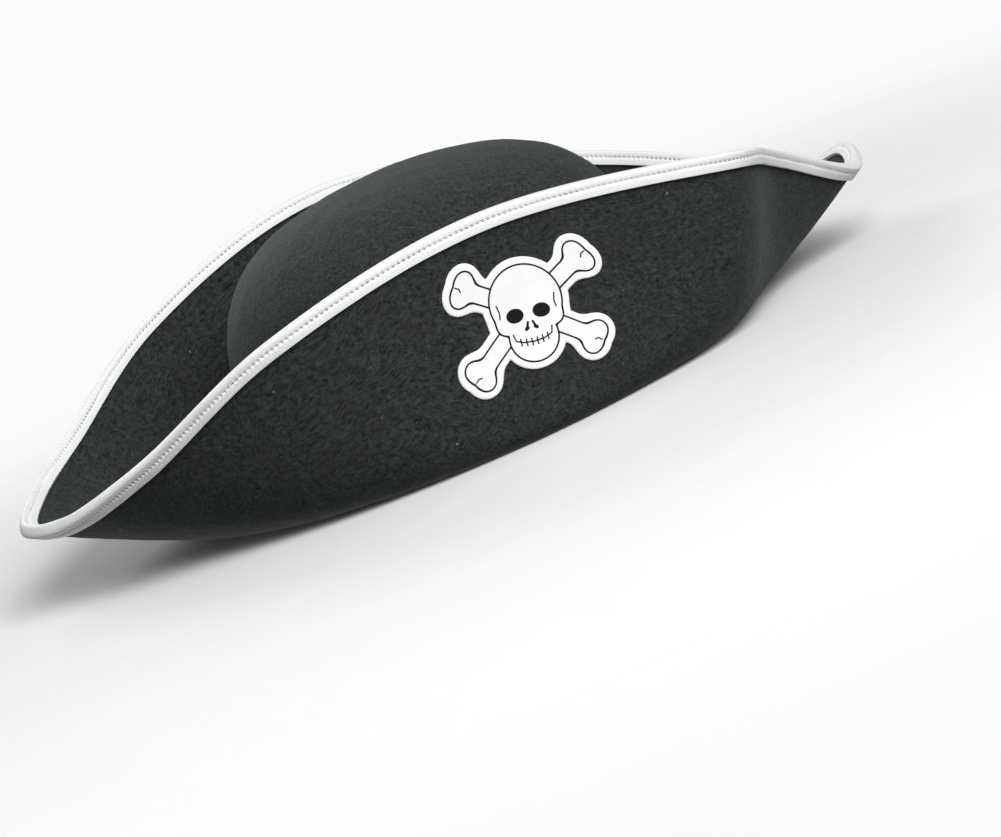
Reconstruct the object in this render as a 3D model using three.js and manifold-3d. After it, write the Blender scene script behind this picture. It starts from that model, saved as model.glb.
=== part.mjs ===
// A pirate's bicorne hat in black felt. A domed crown stands on a wide brim whose front and rear
// flaps turn up and meet in two pointed wings. A white braid is folded over the brim's edge, and a
// die-cut skull and crossbones patch sits on the front flap.
//
// Millimetres. +Z is up, the front faces -Y, and +X is to the wearer's left. The origin is the
// centre of the head opening, in the plane of the flat ring that the hat rests on.
import * as THREE from "three";
import { mergeVertices } from "three/addons/utils/BufferGeometryUtils.js";
import { TessellateModifier } from "three/addons/modifiers/TessellateModifier.js";
import Module from "manifold-3d";

const wasm = await Module();
wasm.setup();

// ---------------------------------------------------------------- driving dimensions

const FELT = 2.2; // thickness of the felt of crown and brim
const GAP = 0.3; // clearance left between neighbouring pieces

const CROWN_HALF_WIDTH = 86; // outside the crown's foot, across the head
const CROWN_HALF_LENGTH = 103; // outside the crown's foot, front to rear
const CROWN_FOOT = FELT + GAP; // the crown stands on the brim's upper face
const CROWN_TOP = 98.7; // height of the crown's top above the rest plane

const COLLAR_TOP = 11; // the brim's collar stands inside the crown's foot
const COLLAR_FILLET = 3; // radius of the collar's bend into the brim, on the head's side
const COLLAR_INNER_FILLET = 0.8; // the same bend on the crown's side
const FLAT_RING = 4; // the brim runs flat this far outside the crown's foot

// Two control points shape the brim's section between the flat ring and the edge. Each value runs
// from its size at the wing tips to its size at the front and rear flaps, and "between" is added
// midway, where the brim stays flatter.
const KNEE = { tip: 28, flap: 15.5, between: 4.5 }; // mm outside the crown's foot
const CHEST = { tip: 0.49, flap: 0.98 }; // share of the way from foot to edge
const CHEST_RISE = { tip: 0.14, flap: 0.27, between: -0.2 }; // share of the edge's height
const FLAP_HOLLOW = 7.5; // how far the flaps' chests draw in towards the crown

const BRAID_WIDTH = 6.6; // width of braid seen on each face of the brim
const BRAID_THICKNESS = 1.2;
const BRAID_ROUNDING = 1.8; // the braid's corners are rounded off over this length
const BRAID_STITCH_FROM_EDGE = 3;
const THREAD = 0.5; // width of a square run of stitches

const BAND_THICKNESS = 1;
const BAND_BOTTOM = 1.5;
const BAND_TOP = 30;
const HEAD_SEAM_HEIGHT = 6.5;

const PATCH_CENTRE = { x: 2.5, arc: 43.4 }; // its height is measured up along the flap
const PATCH_TILT = -8.5; // degrees; the patch is stuck on a little askew
const PATCH_THICKNESS = 0.6;
const PATCH_MARGIN = 3; // white left outside the drawn outline
const INK_THICKNESS = 0.25;
const INK_WIDTH = 0.9;

const LABEL_WIDTH = 20;
const LABEL_LENGTH = 16;
const LABEL_THICKNESS = 0.4;
const LABEL_CORNER = 1.5; // radius of its two lower corners
const LABEL_HINGE_HEIGHT = 26;
const LABEL_SEAM_RISE = 1.1; // its stitches run this far above the hinge line

const STATIONS_AROUND = 60; // sections round the head
const TIP_CROWDING = 0.45; // 0 spaces the sections evenly, 1 crowds them all into the wing tips

// The brim's outer edge, at stations round the hat. "at" is the angle of the crown's oval in
// degrees: 0 is the left wing's tip, 90 the front, 180 the right wing's tip and 270 the rear.
// The front of the left wing is dented, and so its stations differ from the right wing's.
const EDGE_STATIONS = [
  { at: 0, x: 180, y: 0, z: 31.8 },
  { at: 14, x: 167.5, y: -29.5, z: 28.5 },
  { at: 32, x: 128.5, y: -64.5, z: 50.6 },
  { at: 58, x: 94, y: -107, z: 64.5 },
  { at: 90, x: 0, y: -115.5, z: 82.5 },
  { at: 122, x: -85.5, y: -106.5, z: 71.5 },
  { at: 148, x: -139.5, y: -67, z: 45.5 },
  { at: 166, x: -167.5, y: -31, z: 33.5 },
  { at: 180, x: -179, y: 0, z: 33 },
  { at: 194, x: -169, y: 31.5, z: 39 },
  { at: 212, x: -143.5, y: 68, z: 49.5 },
  { at: 238, x: -90.5, y: 105.5, z: 75 },
  { at: 270, x: 0, y: 117, z: 94 },
  { at: 302, x: 91.5, y: 105.5, z: 69 },
  { at: 328, x: 141, y: 68, z: 45.8 },
  { at: 346, x: 168.5, y: 28, z: 27.5 },
];

// ---------------------------------------------------------------- materials

const material = (color, roughness, metalness = 0) =>
  new THREE.MeshStandardMaterial({ color, roughness, metalness });

const FELT_BLACK = material(0x17191a, 0.95);
const BRAID_WHITE = material(0xeeeeee, 0.6);
const THREAD_WHITE = material(0xd8d8d8, 0.7);
const THREAD_BLACK = material(0x101010, 0.8);
const BAND_BLACK = material(0x1c1c1e, 0.8);
const PATCH_WHITE = material(0xf6f6f6, 0.55);
const INK_BLACK = material(0x141214, 0.6);
const LABEL_SATIN = material(0xf2f2ee, 0.45);

// ---------------------------------------------------------------- shape helpers

const lerp = THREE.MathUtils.lerp;
const radians = THREE.MathUtils.degToRad;

// Cubic through the edge stations, with each station's slope taken from the parabola through it
// and its two neighbours.
function edgePoint(angle) {
  const count = EDGE_STATIONS.length;
  const degrees = THREE.MathUtils.euclideanModulo(THREE.MathUtils.radToDeg(angle), 360);
  const station = (i) => EDGE_STATIONS[(i + count) % count];
  const span = (i) => THREE.MathUtils.euclideanModulo(station(i + 1).at - station(i).at, 360);
  const secant = (i, axis) => (station(i + 1)[axis] - station(i)[axis]) / span(i);
  const slope = (i, axis) =>
    (secant(i - 1, axis) * span(i) + secant(i, axis) * span(i - 1)) / (span(i) + span(i - 1));
  const i = EDGE_STATIONS.findLastIndex((s) => s.at <= degrees);
  const width = span(i);
  const u = (degrees - station(i).at) / width;
  const along = (axis) =>
    (2 * u ** 3 - 3 * u ** 2 + 1) * station(i)[axis] +
    (u ** 3 - 2 * u ** 2 + u) * width * slope(i, axis) +
    (3 * u ** 2 - 2 * u ** 3) * station(i + 1)[axis] +
    (u ** 3 - u ** 2) * width * slope(i + 1, axis);
  return new THREE.Vector3(along("x"), along("y"), along("z"));
}

// The value between low and high where `rising`, an increasing function, reaches the target.
function solve(rising, target, low, high) {
  for (let step = 0; step < 30; step++) {
    const middle = (low + high) / 2;
    if (rising(middle) < target) low = middle;
    else high = middle;
  }
  return (low + high) / 2;
}

// A point `outwards` from the crown's foot, square to its oval, at height z.
function fromFoot(angle, outwards, z) {
  const a = CROWN_HALF_WIDTH;
  const b = CROWN_HALF_LENGTH;
  const foot = new THREE.Vector3(a * Math.cos(angle), -b * Math.sin(angle), z);
  const normal = new THREE.Vector3(Math.cos(angle) / a, -Math.sin(angle) / b, 0).normalize();
  return foot.addScaledVector(normal, outwards);
}

// The brim's mid-surface outside the flat ring: at each angle a cubic Bezier section from the ring
// to the edge. The flaps (front and rear) rise steeply, and the wings (left and right) run out.
function sectionCurve(angle) {
  const flap = Math.sin(angle) ** 2; // 1 at front and rear, 0 at the wing tips
  const between = Math.sin(2 * angle) ** 2; // 1 midway between them
  const level = FELT / 2;
  const edge = edgePoint(angle);
  const foot = fromFoot(angle, 0, level);
  const knee = fromFoot(angle, lerp(KNEE.tip, KNEE.flap, flap) + KNEE.between * between, level);
  const chest = fromFoot(angle, -FLAP_HOLLOW * flap, level);
  chest.addScaledVector(edge.clone().sub(foot), lerp(CHEST.tip, CHEST.flap, flap));
  const rise = lerp(CHEST_RISE.tip, CHEST_RISE.flap, flap) + CHEST_RISE.between * between;
  chest.z = lerp(level, edge.z, rise);
  return new THREE.CubicBezierCurve3(fromFoot(angle, FLAT_RING, level), knee, chest, edge);
}

// How far along its section (0 to 1) a point lies that is `inset` from the brim's edge.
function insetToT(curve, inset) {
  return 1 - inset / (3 * curve.v3.distanceTo(curve.v2));
}

// A point `lift` above the brim's mid-surface. The brim's upper face is the one towards the crown.
function brimPoint(angle, t, lift) {
  const step = 1e-3;
  const here = sectionCurve(angle);
  const along = sectionCurve(angle + step).getPoint(t).sub(sectionCurve(angle - step).getPoint(t));
  const normal = along.cross(here.getTangent(t)).normalize();
  return here.getPoint(t).addScaledVector(normal, lift);
}

// Sections round the hat, closer together where the wings turn.
const ANGLES = Array.from({ length: STATIONS_AROUND }, (_, i) => {
  const even = (2 * Math.PI * i) / STATIONS_AROUND;
  return even - (TIP_CROWDING / 2) * Math.sin(2 * even);
});

// Joins rows of points into triangles. Each row closes on itself. The stack of rows either closes
// on itself too, or ends in a single point at both ends.
function skin(rows, closed) {
  const points = [];
  const starts = rows.map((row) => {
    points.push(...row);
    return points.length - row.length;
  });
  const index = [];
  const last = closed ? rows.length : rows.length - 1;
  for (let r = 0; r < last; r++) {
    const next = (r + 1) % rows.length;
    const count = Math.max(rows[r].length, rows[next].length);
    const at = (row, i) => starts[row] + (i % rows[row].length);
    for (let i = 0; i < count; i++) {
      if (rows[r].length > 1) index.push(at(r, i), at(r, i + 1), at(next, i));
      if (rows[next].length > 1) index.push(at(r, i + 1), at(next, i + 1), at(next, i));
    }
  }
  const geometry = new THREE.BufferGeometry().setFromPoints(points);
  return geometry.setIndex(index);
}

// A ring round the hat whose section is given at each angle as a list of points, anticlockwise
// when seen with the head's opening on the left.
function ringOf(sectionAt) {
  return skin(ANGLES.map(sectionAt), true);
}

function named(name, geometry, look) {
  geometry.computeVertexNormals();
  const mesh = new THREE.Mesh(geometry, look);
  mesh.name = name;
  return mesh;
}

// ---------------------------------------------------------------- felt

// The crown's profile. x is the share of the foot's oval, and y the share of the crown's height.
const CROWN_PROFILE = new THREE.CubicBezierCurve(
  new THREE.Vector2(1, 0),
  new THREE.Vector2(0.94, 0.4),
  new THREE.Vector2(1.13, 1),
  new THREE.Vector2(0, 1),
);

// A point `inwards` from the crown's foot, drawn in towards the middle by `share`.
function drawnIn(angle, inwards, z, share) {
  const p = fromFoot(angle, -inwards, z);
  return new THREE.Vector3(p.x * share, p.y * share, z);
}

// A point at height z that lies `inwards` of the crown's outer wall.
function wallPoint(angle, inwards, z) {
  const height = Math.max(0, (z - CROWN_FOOT) / (CROWN_TOP - CROWN_FOOT));
  const t = solve((x) => CROWN_PROFILE.getPoint(x).y, height, 0, 1);
  return drawnIn(angle, inwards, z, CROWN_PROFILE.getPoint(t).x);
}

// One face of the crown's wall, as rows from the foot to the last row before the pole.
function crownRows(inwards, top, count) {
  return Array.from({ length: count }, (_, k) => {
    const { x: share, y: rise } = CROWN_PROFILE.getPoint(k / count);
    const z = lerp(CROWN_FOOT, top, rise);
    return ANGLES.map((angle) => drawnIn(angle, inwards, z, share));
  });
}

function crown() {
  const outer = crownRows(0, CROWN_TOP, 10);
  const inner = crownRows(FELT, CROWN_TOP - FELT, 8);
  const outerPole = [new THREE.Vector3(0, 0, CROWN_TOP)];
  const innerPole = [new THREE.Vector3(0, 0, CROWN_TOP - FELT)];
  return skin([outerPole, ...outer.reverse(), ...inner, innerPole], false);
}

// The collar, its bend and the flat ring, then the turned-up brim: under side out, top side back.
function brim() {
  const collarOut = -(FELT + GAP);
  const collarIn = collarOut - FELT;
  const bend = COLLAR_FILLET * (1 - Math.SQRT1_2);
  const innerBend = COLLAR_INNER_FILLET * (1 - Math.SQRT1_2);
  const bendEnd = collarIn + COLLAR_FILLET;
  const rows = 7; // sections across the flap between the flat ring and the braid
  return ringOf((angle) => {
    const curve = sectionCurve(angle);
    const braidStart = insetToT(curve, BRAID_WIDTH);
    const end = insetToT(curve, BRAID_THICKNESS + 2 * GAP);
    const across = Array.from({ length: rows }, (_, k) => (braidStart * (k + 1)) / rows);
    across.push(end);
    const under = across.map((t) => brimPoint(angle, t, -FELT / 2));
    const over = across.map((t) => brimPoint(angle, t, FELT / 2)).reverse();
    return [
      wallPoint(angle, -collarIn, COLLAR_TOP),
      wallPoint(angle, -collarIn, COLLAR_FILLET),
      fromFoot(angle, collarIn + bend, bend),
      fromFoot(angle, bendEnd, 0),
      fromFoot(angle, FLAT_RING, 0),
      ...under,
      ...over,
      fromFoot(angle, FLAT_RING, FELT),
      fromFoot(angle, collarOut + COLLAR_INNER_FILLET, FELT),
      fromFoot(angle, collarOut + innerBend, FELT + innerBend),
      wallPoint(angle, -collarOut, FELT + COLLAR_INNER_FILLET),
      wallPoint(angle, -collarOut, COLLAR_TOP),
    ];
  });
}

// ---------------------------------------------------------------- braid, band and stitching

// The braid is folded over the brim's edge with its two legs along the felt's two faces.
function edgeBraid() {
  const channel = FELT / 2 + GAP;
  const outer = channel + BRAID_THICKNESS;
  const round = BRAID_ROUNDING;
  // The outside of the upper leg, from its free end to the fold.
  const half = [
    { inset: BRAID_WIDTH, lift: outer - round * 0.3 },
    { inset: BRAID_WIDTH - round, lift: outer },
    { inset: round, lift: outer },
    { inset: round * 0.3, lift: outer - round * 0.4 },
    { inset: 0, lift: outer - round * 1.1 },
  ];
  const mirrored = half.map(({ inset, lift }) => ({ inset, lift: -lift }));
  const outline = [
    { inset: BRAID_WIDTH, lift: channel },
    { inset: BRAID_THICKNESS + GAP, lift: channel }, // the floor of the fold
    { inset: BRAID_THICKNESS + GAP, lift: -channel },
    { inset: BRAID_WIDTH, lift: -channel },
    ...mirrored,
    ...half.reverse(),
  ];
  return ringOf((angle) => {
    const curve = sectionCurve(angle);
    return outline.map(({ inset, lift }) => brimPoint(angle, insetToT(curve, inset), lift));
  });
}

// A run of stitches along the middle of the braid, on its upper (side = 1) or under (-1) face.
function braidThread(side) {
  const near = FELT / 2 + GAP + BRAID_THICKNESS + GAP;
  const far = near + THREAD;
  const outer = BRAID_STITCH_FROM_EDGE - THREAD / 2;
  const inner = BRAID_STITCH_FROM_EDGE + THREAD / 2;
  const corners = [
    [inner, near],
    [outer, near],
    [outer, far],
    [inner, far],
  ];
  if (side < 0) corners.reverse();
  return ringOf((angle) => {
    const curve = sectionCurve(angle);
    return corners.map(([inset, lift]) => brimPoint(angle, insetToT(curve, inset), side * lift));
  });
}

const BAND_OUT = 2 * (FELT + GAP); // the band's outer face, measured in from the crown's wall
const BAND_IN = BAND_OUT + BAND_THICKNESS;

// A ring inside the head opening that leans with the crown's wall, between two depths from it.
function innerRing(outer, inner, bottom, top) {
  return ringOf((angle) => [
    wallPoint(angle, inner, bottom),
    wallPoint(angle, outer, bottom),
    wallPoint(angle, outer, top),
    wallPoint(angle, inner, top),
  ]);
}

function sweatband() {
  return innerRing(BAND_OUT, BAND_IN, BAND_BOTTOM, BAND_TOP);
}

function headSeamThread() {
  const outer = BAND_IN + GAP;
  const half = THREAD / 2;
  return innerRing(outer, outer + THREAD, HEAD_SEAM_HEIGHT - half, HEAD_SEAM_HEIGHT + half);
}

// ---------------------------------------------------------------- care label

// The label hangs flat from its hinge line, which is clear of the band where the label's side
// edges come closest to it.
const REAR = 1.5 * Math.PI;
const LABEL_SIDE = REAR + Math.asin(LABEL_WIDTH / 2 / (CROWN_HALF_WIDTH - BAND_IN));
const LABEL_PLANE = wallPoint(LABEL_SIDE, BAND_IN, LABEL_HINGE_HEIGHT).y - GAP - LABEL_THICKNESS;

function careLabel() {
  const corner = LABEL_CORNER;
  const half = LABEL_WIDTH / 2;
  const top = -GAP; // just under the hinge line
  const bottom = -LABEL_LENGTH;
  const outline = new THREE.Shape();
  outline.moveTo(-half, top);
  outline.lineTo(-half, bottom + corner);
  outline.quadraticCurveTo(-half, bottom, -half + corner, bottom);
  outline.lineTo(half - corner, bottom);
  outline.quadraticCurveTo(half, bottom, half, bottom + corner);
  outline.lineTo(half, top);
  outline.closePath();
  const depth = LABEL_THICKNESS;
  const geometry = new THREE.ExtrudeGeometry(outline, { depth, bevelEnabled: false, curveSegments: 4 });
  geometry.translate(0, 0, -depth / 2);
  geometry.rotateX(Math.PI / 2);
  return geometry.translate(0, LABEL_PLANE, LABEL_HINGE_HEIGHT);
}

// The bar of stitches that holds the label's top edge to the band.
function labelThread() {
  const endMargin = 2; // the stitches stop this far short of the label's side edges
  const geometry = new THREE.CapsuleGeometry(THREAD / 2, LABEL_WIDTH - 2 * endMargin, 3, 8);
  geometry.rotateZ(Math.PI / 2);
  return geometry.translate(0, LABEL_PLANE, LABEL_HINGE_HEIGHT + LABEL_SEAM_RISE);
}

// ---------------------------------------------------------------- skull and crossbones patch

const BONE_ANGLE = 34.5; // degrees each bone slopes
const BONE_REACH = 26; // from the crossing to the knuckles' centres
const BONE_HALF_WIDTH = 3.4;
const KNUCKLE_RADIUS = 3.9;
const KNUCKLE_SPREAD = 3.2;
const CROSSING = new THREE.Vector2(0, 2.5);
const CREASE_LENGTH = 2.6;
const MOUTH_LOW = -8.4; // height of the middle of the mouth
const TICK_HALF = 1.3; // half the height of the strokes across the mouth
const FINE_INK = 0.8 * INK_WIDTH;
const MERGE = 1e-4; // vertices closer than this are one

function toSolid(geometry) {
  const bare = geometry.clone();
  bare.deleteAttribute("normal");
  bare.deleteAttribute("uv");
  const merged = mergeVertices(bare, MERGE);
  const vertProperties = merged.attributes.position.array;
  const triVerts = new Uint32Array(merged.index.array);
  return new wasm.Manifold(new wasm.Mesh({ numProp: 3, vertProperties, triVerts }));
}

function toGeometry(solid) {
  const { vertProperties, triVerts } = solid.getMesh();
  const geometry = new THREE.BufferGeometry();
  geometry.setAttribute("position", new THREE.BufferAttribute(vertProperties, 3));
  return geometry.setIndex(new THREE.BufferAttribute(triVerts, 1));
}

function slab(shape, depth) {
  return toSolid(new THREE.ExtrudeGeometry(shape, { depth, bevelEnabled: false, curveSegments: 5 }));
}

function ellipse(x, y, halfWidth, halfHeight) {
  const shape = new THREE.Shape();
  shape.absellipse(x, y, halfWidth, halfHeight, 0, 2 * Math.PI);
  return shape;
}

// A straight bar between two points.
function bar(from, to, width) {
  const side = to.clone().sub(from).normalize().multiplyScalar(width / 2);
  side.set(-side.y, side.x);
  return new THREE.Shape([
    from.clone().sub(side),
    to.clone().sub(side),
    to.clone().add(side),
    from.clone().add(side),
  ]);
}

const union = (solids) => solids.reduce((all, next) => all.add(next));

// The skull's silhouette, grown by `grow` on all sides: cranium, two cheekbones and jaw.
function skull(grow, depth) {
  return union([
    slab(ellipse(0, 6.4, 13.2 + grow, 13.2 + grow), depth),
    slab(ellipse(-8.4, -0.6, 4 + grow, 4 + grow), depth),
    slab(ellipse(8.4, -0.6, 4 + grow, 4 + grow), depth),
    slab(ellipse(0, -6.6, 9.4 + grow, 9.2 + grow), depth),
  ]);
}

// One bone's end points and their knuckles, for a bone that slopes at `degrees`.
function boneEnds(degrees) {
  const along = new THREE.Vector2(1, 0).rotateAround(new THREE.Vector2(), radians(degrees));
  const across = new THREE.Vector2(-along.y, along.x);
  return [-1, 1].map((end) => {
    const tip = CROSSING.clone().addScaledVector(along, end * BONE_REACH);
    const knuckles = [-1, 1].map((s) => tip.clone().addScaledVector(across, s * KNUCKLE_SPREAD));
    return { tip, knuckles, along: along.clone().multiplyScalar(end) };
  });
}

function bone(degrees, grow, depth) {
  const ends = boneEnds(degrees);
  const shaft = slab(bar(ends[0].tip, ends[1].tip, 2 * (BONE_HALF_WIDTH + grow)), depth);
  const radius = KNUCKLE_RADIUS + grow;
  const knuckles = ends.flatMap((end) => end.knuckles);
  return union([shaft, ...knuckles.map((c) => slab(ellipse(c.x, c.y, radius, radius), depth))]);
}

function bones(grow, depth) {
  return bone(BONE_ANGLE, grow, depth).add(bone(-BONE_ANGLE, grow, depth));
}

// A short crease drawn inwards from the dip between each pair of knuckles.
function creases(depth) {
  const toDip = Math.sqrt(KNUCKLE_RADIUS ** 2 - KNUCKLE_SPREAD ** 2);
  const strokes = [BONE_ANGLE, -BONE_ANGLE].flatMap(boneEnds).map(({ tip, along }) => {
    const dip = tip.clone().addScaledVector(along, toDip);
    const start = dip.clone().addScaledVector(along, -CREASE_LENGTH);
    return slab(bar(start, dip, FINE_INK), depth);
  });
  return union(strokes);
}

function outlineInk(depth) {
  const half = INK_WIDTH / 2;
  const silhouette = skull(half, depth).add(bones(half, depth));
  const insideBones = bones(-half, depth).subtract(skull(half, depth));
  return silhouette.subtract(skull(-half, depth)).subtract(insideBones).add(creases(depth));
}

// The closed mouth: a line that turns up into the cheeks, crossed by six short strokes.
function mouthInk(depth) {
  const line = [
    [-7.2, -4.3],
    [-6.6, -6.8],
    [-3.7, -8],
    [0, MOUTH_LOW],
    [3.7, -8],
    [6.6, -6.8],
    [7.2, -4.3],
  ].map(([x, y]) => new THREE.Vector2(x, y));
  const half = FINE_INK / 2;
  const pieces = line.slice(1).map((to, i) => slab(bar(line[i], to, FINE_INK), depth));
  const joints = line.slice(1, -1).map((p) => slab(ellipse(p.x, p.y, half, half), depth));
  const ticks = [-5, -3, -1, 1, 3, 5].map((x) => {
    const y = MOUTH_LOW + 0.03 * x ** 2;
    const [low, high] = [y - TICK_HALF, y + TICK_HALF].map((end) => new THREE.Vector2(x, end));
    return slab(bar(low, high, FINE_INK), depth);
  });
  return union([...pieces, ...joints, ...ticks]);
}

// One of the nose's two slits, on the side given by the sign of `side`.
function noseInk(side, depth) {
  const slit = new THREE.Shape();
  slit.moveTo(side * 0.6, -0.8);
  slit.quadraticCurveTo(side * 2.2, -2.6, side * 2.5, -4.1);
  slit.quadraticCurveTo(side * 1.6, -4.7, side * 0.9, -3.9);
  slit.closePath();
  return slab(slit, depth);
}

// Wraps a flat slab (x across, y up, z out) onto the front face of the front flap, `lift` clear
// of the felt. Heights are measured along the flap's section at the centre of the front.
const FRONT = Math.PI / 2;
const frontArcs = sectionCurve(FRONT).getLengths(200);

function arcToT(arc) {
  const i = Math.max(1, frontArcs.findIndex((length) => length >= arc));
  const part = (arc - frontArcs[i - 1]) / (frontArcs[i] - frontArcs[i - 1]);
  return (i - 1 + part) / (frontArcs.length - 1);
}

function angleAtX(t, x) {
  const reach = Math.PI / 4;
  return solve((angle) => -sectionCurve(angle).getPoint(t).x, -x, FRONT - reach, FRONT + reach);
}

function wrapOnFlap(solid, lift) {
  const longest = 8; // mm; edges longer than this would cut corners on the curved flap
  const splits = 12;
  const flat = toGeometry(solid).toNonIndexed();
  const fine = mergeVertices(new TessellateModifier(longest, splits).modify(flat), MERGE);
  const position = fine.attributes.position;
  const point = new THREE.Vector2();
  for (let i = 0; i < position.count; i++) {
    point.set(position.getX(i), position.getY(i));
    point.rotateAround(new THREE.Vector2(), radians(PATCH_TILT));
    const t = arcToT(PATCH_CENTRE.arc + point.y);
    const angle = angleAtX(t, PATCH_CENTRE.x + point.x);
    const wrapped = brimPoint(angle, t, -(FELT / 2 + lift + position.getZ(i)));
    position.setXYZ(i, wrapped.x, wrapped.y, wrapped.z);
  }
  return fine;
}

const onPatch = (solid) => wrapOnFlap(solid, GAP + PATCH_THICKNESS + GAP);

function patchBacking() {
  const solid = skull(PATCH_MARGIN, PATCH_THICKNESS).add(bones(PATCH_MARGIN, PATCH_THICKNESS));
  return wrapOnFlap(solid, GAP);
}

const eyeSocket = (side) => onPatch(slab(ellipse(side * 4.9, 2, 3.1, 2.3), INK_THICKNESS));
const noseSlit = (side) => onPatch(noseInk(side, INK_THICKNESS));

// ---------------------------------------------------------------- the hat

const hat = new THREE.Group();
hat.add(
  named("crown", crown(), FELT_BLACK),
  named("brim", brim(), FELT_BLACK),
  named("edge_braid", edgeBraid(), BRAID_WHITE),
  named("braid_top_thread", braidThread(1), THREAD_WHITE),
  named("braid_under_thread", braidThread(-1), THREAD_WHITE),
  named("sweatband", sweatband(), BAND_BLACK),
  named("head_seam_thread", headSeamThread(), THREAD_BLACK),
  named("patch_backing", patchBacking(), PATCH_WHITE),
  named("patch_outline", onPatch(outlineInk(INK_THICKNESS)), INK_BLACK),
  named("patch_eye_left", eyeSocket(1), INK_BLACK),
  named("patch_eye_right", eyeSocket(-1), INK_BLACK),
  named("patch_nose_left", noseSlit(1), INK_BLACK),
  named("patch_nose_right", noseSlit(-1), INK_BLACK),
  named("patch_mouth", onPatch(mouthInk(INK_THICKNESS)), INK_BLACK),
  named("care_label", careLabel(), LABEL_SATIN),
  named("label_thread", labelThread(), THREAD_WHITE),
);

export default hat;
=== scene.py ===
"""A pirate's bicorne hat in black felt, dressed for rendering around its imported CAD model.

The CAD nodes give the sizes, and each is replaced by a finer piece: formed felt, a folded braid
with its lockstitches, a grosgrain sweatband, a die-cut patch and a satin care label. Shapes are
worked out in millimetres, in the CAD's frame, and turned into metres when a mesh is made.
"""

import math

import bmesh
import bpy
import numpy as np
from mathutils import Matrix, Vector


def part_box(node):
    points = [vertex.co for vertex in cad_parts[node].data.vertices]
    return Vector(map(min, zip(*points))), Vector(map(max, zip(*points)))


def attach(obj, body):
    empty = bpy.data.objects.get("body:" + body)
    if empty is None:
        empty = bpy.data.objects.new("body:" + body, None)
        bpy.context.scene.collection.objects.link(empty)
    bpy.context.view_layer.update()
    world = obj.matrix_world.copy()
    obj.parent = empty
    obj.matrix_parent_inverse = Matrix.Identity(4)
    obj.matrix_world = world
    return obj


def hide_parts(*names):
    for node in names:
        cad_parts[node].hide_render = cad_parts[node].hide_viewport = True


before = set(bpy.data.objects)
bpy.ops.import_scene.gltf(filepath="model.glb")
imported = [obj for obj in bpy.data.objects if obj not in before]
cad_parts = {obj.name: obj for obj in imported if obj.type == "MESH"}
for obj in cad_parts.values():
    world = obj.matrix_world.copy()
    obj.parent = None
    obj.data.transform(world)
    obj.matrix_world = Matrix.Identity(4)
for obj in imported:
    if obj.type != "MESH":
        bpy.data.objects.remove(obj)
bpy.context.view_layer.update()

MM = 0.001


def node_box(name):
    """Lowest and highest corner of a CAD node, in millimetres."""
    low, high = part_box(name)
    return np.array(low) / MM, np.array(high) / MM


# ---------------------------------------------------------------- driving dimensions

CROWN_BOX = node_box("crown")
BAND_BOX = node_box("sweatband")
LABEL_BOX = node_box("care_label")

FELT = 2.2
GAP = 0.3  # between pieces that are sewn together
CROWN_HALF_WIDTH = CROWN_BOX[1][0]
CROWN_HALF_LENGTH = CROWN_BOX[1][1]
CROWN_FOOT = CROWN_BOX[0][2]
CROWN_TOP = CROWN_BOX[1][2]

COLLAR_TOP = 11
COLLAR_LIP = 0.8  # rounding of the collar's cut top
COLLAR_FILLET = 3
COLLAR_INNER_FILLET = 0.8
CROWN_FOOT_ROUNDING = 0.6
FLAT_RING = 4

# The brim's section between the flat ring and the edge. Each holds its value at the wing tips,
# its value at the flaps and, if there is a third, what is added midway.
KNEE = (28, 15.5, 4.5)
CHEST = (0.49, 0.98)
CHEST_RISE = (0.14, 0.27, -0.2)
FLAP_HOLLOW = 7.5

BRAID_WIDTH = 6.6
BRAID_STITCH_FROM_EDGE = 3.0
BRAID_LIFT = 2.6  # from the brim's mid-surface to the top of the braid
BRAID_GROOVE = 0.7  # depth of the groove that the stitches pull into the braid
BRAID_PITCH = 2.1  # length of one lockstitch
THREAD_RADIUS = 0.27

PATCH_CENTRE = (2.5, 43.4)  # across, and up along the flap
PATCH_TILT = math.radians(-8.5)
PATCH_THICKNESS = 0.8
PATCH_MARGIN = 2.7
INK_WIDTH = 0.66
INK_HEIGHT = 0.12

# Places on the brim's edge: (angle of the crown's oval in degrees, x, y, z). Angle 0 is the left
# wing's tip, 90 the front, 180 the right wing's tip and 270 the rear.
EDGE_STATIONS = np.array([
    (0, 180, 0, 31.8),
    (14, 167.5, -29.5, 28.5),
    (32, 128.5, -64.5, 50.6),
    (58, 94, -107, 64.5),
    (90, 0, -115.5, 82.5),
    (122, -85.5, -106.5, 71.5),
    (148, -139.5, -67, 45.5),
    (166, -167.5, -31, 33.5),
    (180, -179, 0, 33),
    (194, -169, 31.5, 39),
    (212, -143.5, 68, 49.5),
    (238, -90.5, 105.5, 75),
    (270, 0, 117, 94),
    (302, 91.5, 105.5, 69),
    (328, 141, 68, 45.8),
    (346, 168.5, 28, 27.5),
], float)

FRONT = 0.5 * math.pi
REAR = -0.5 * math.pi
TURN = 2 * math.pi


# ---------------------------------------------------------------- the hat's surfaces

def unit(vectors):
    return vectors / np.linalg.norm(vectors, axis=-1, keepdims=True)


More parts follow.
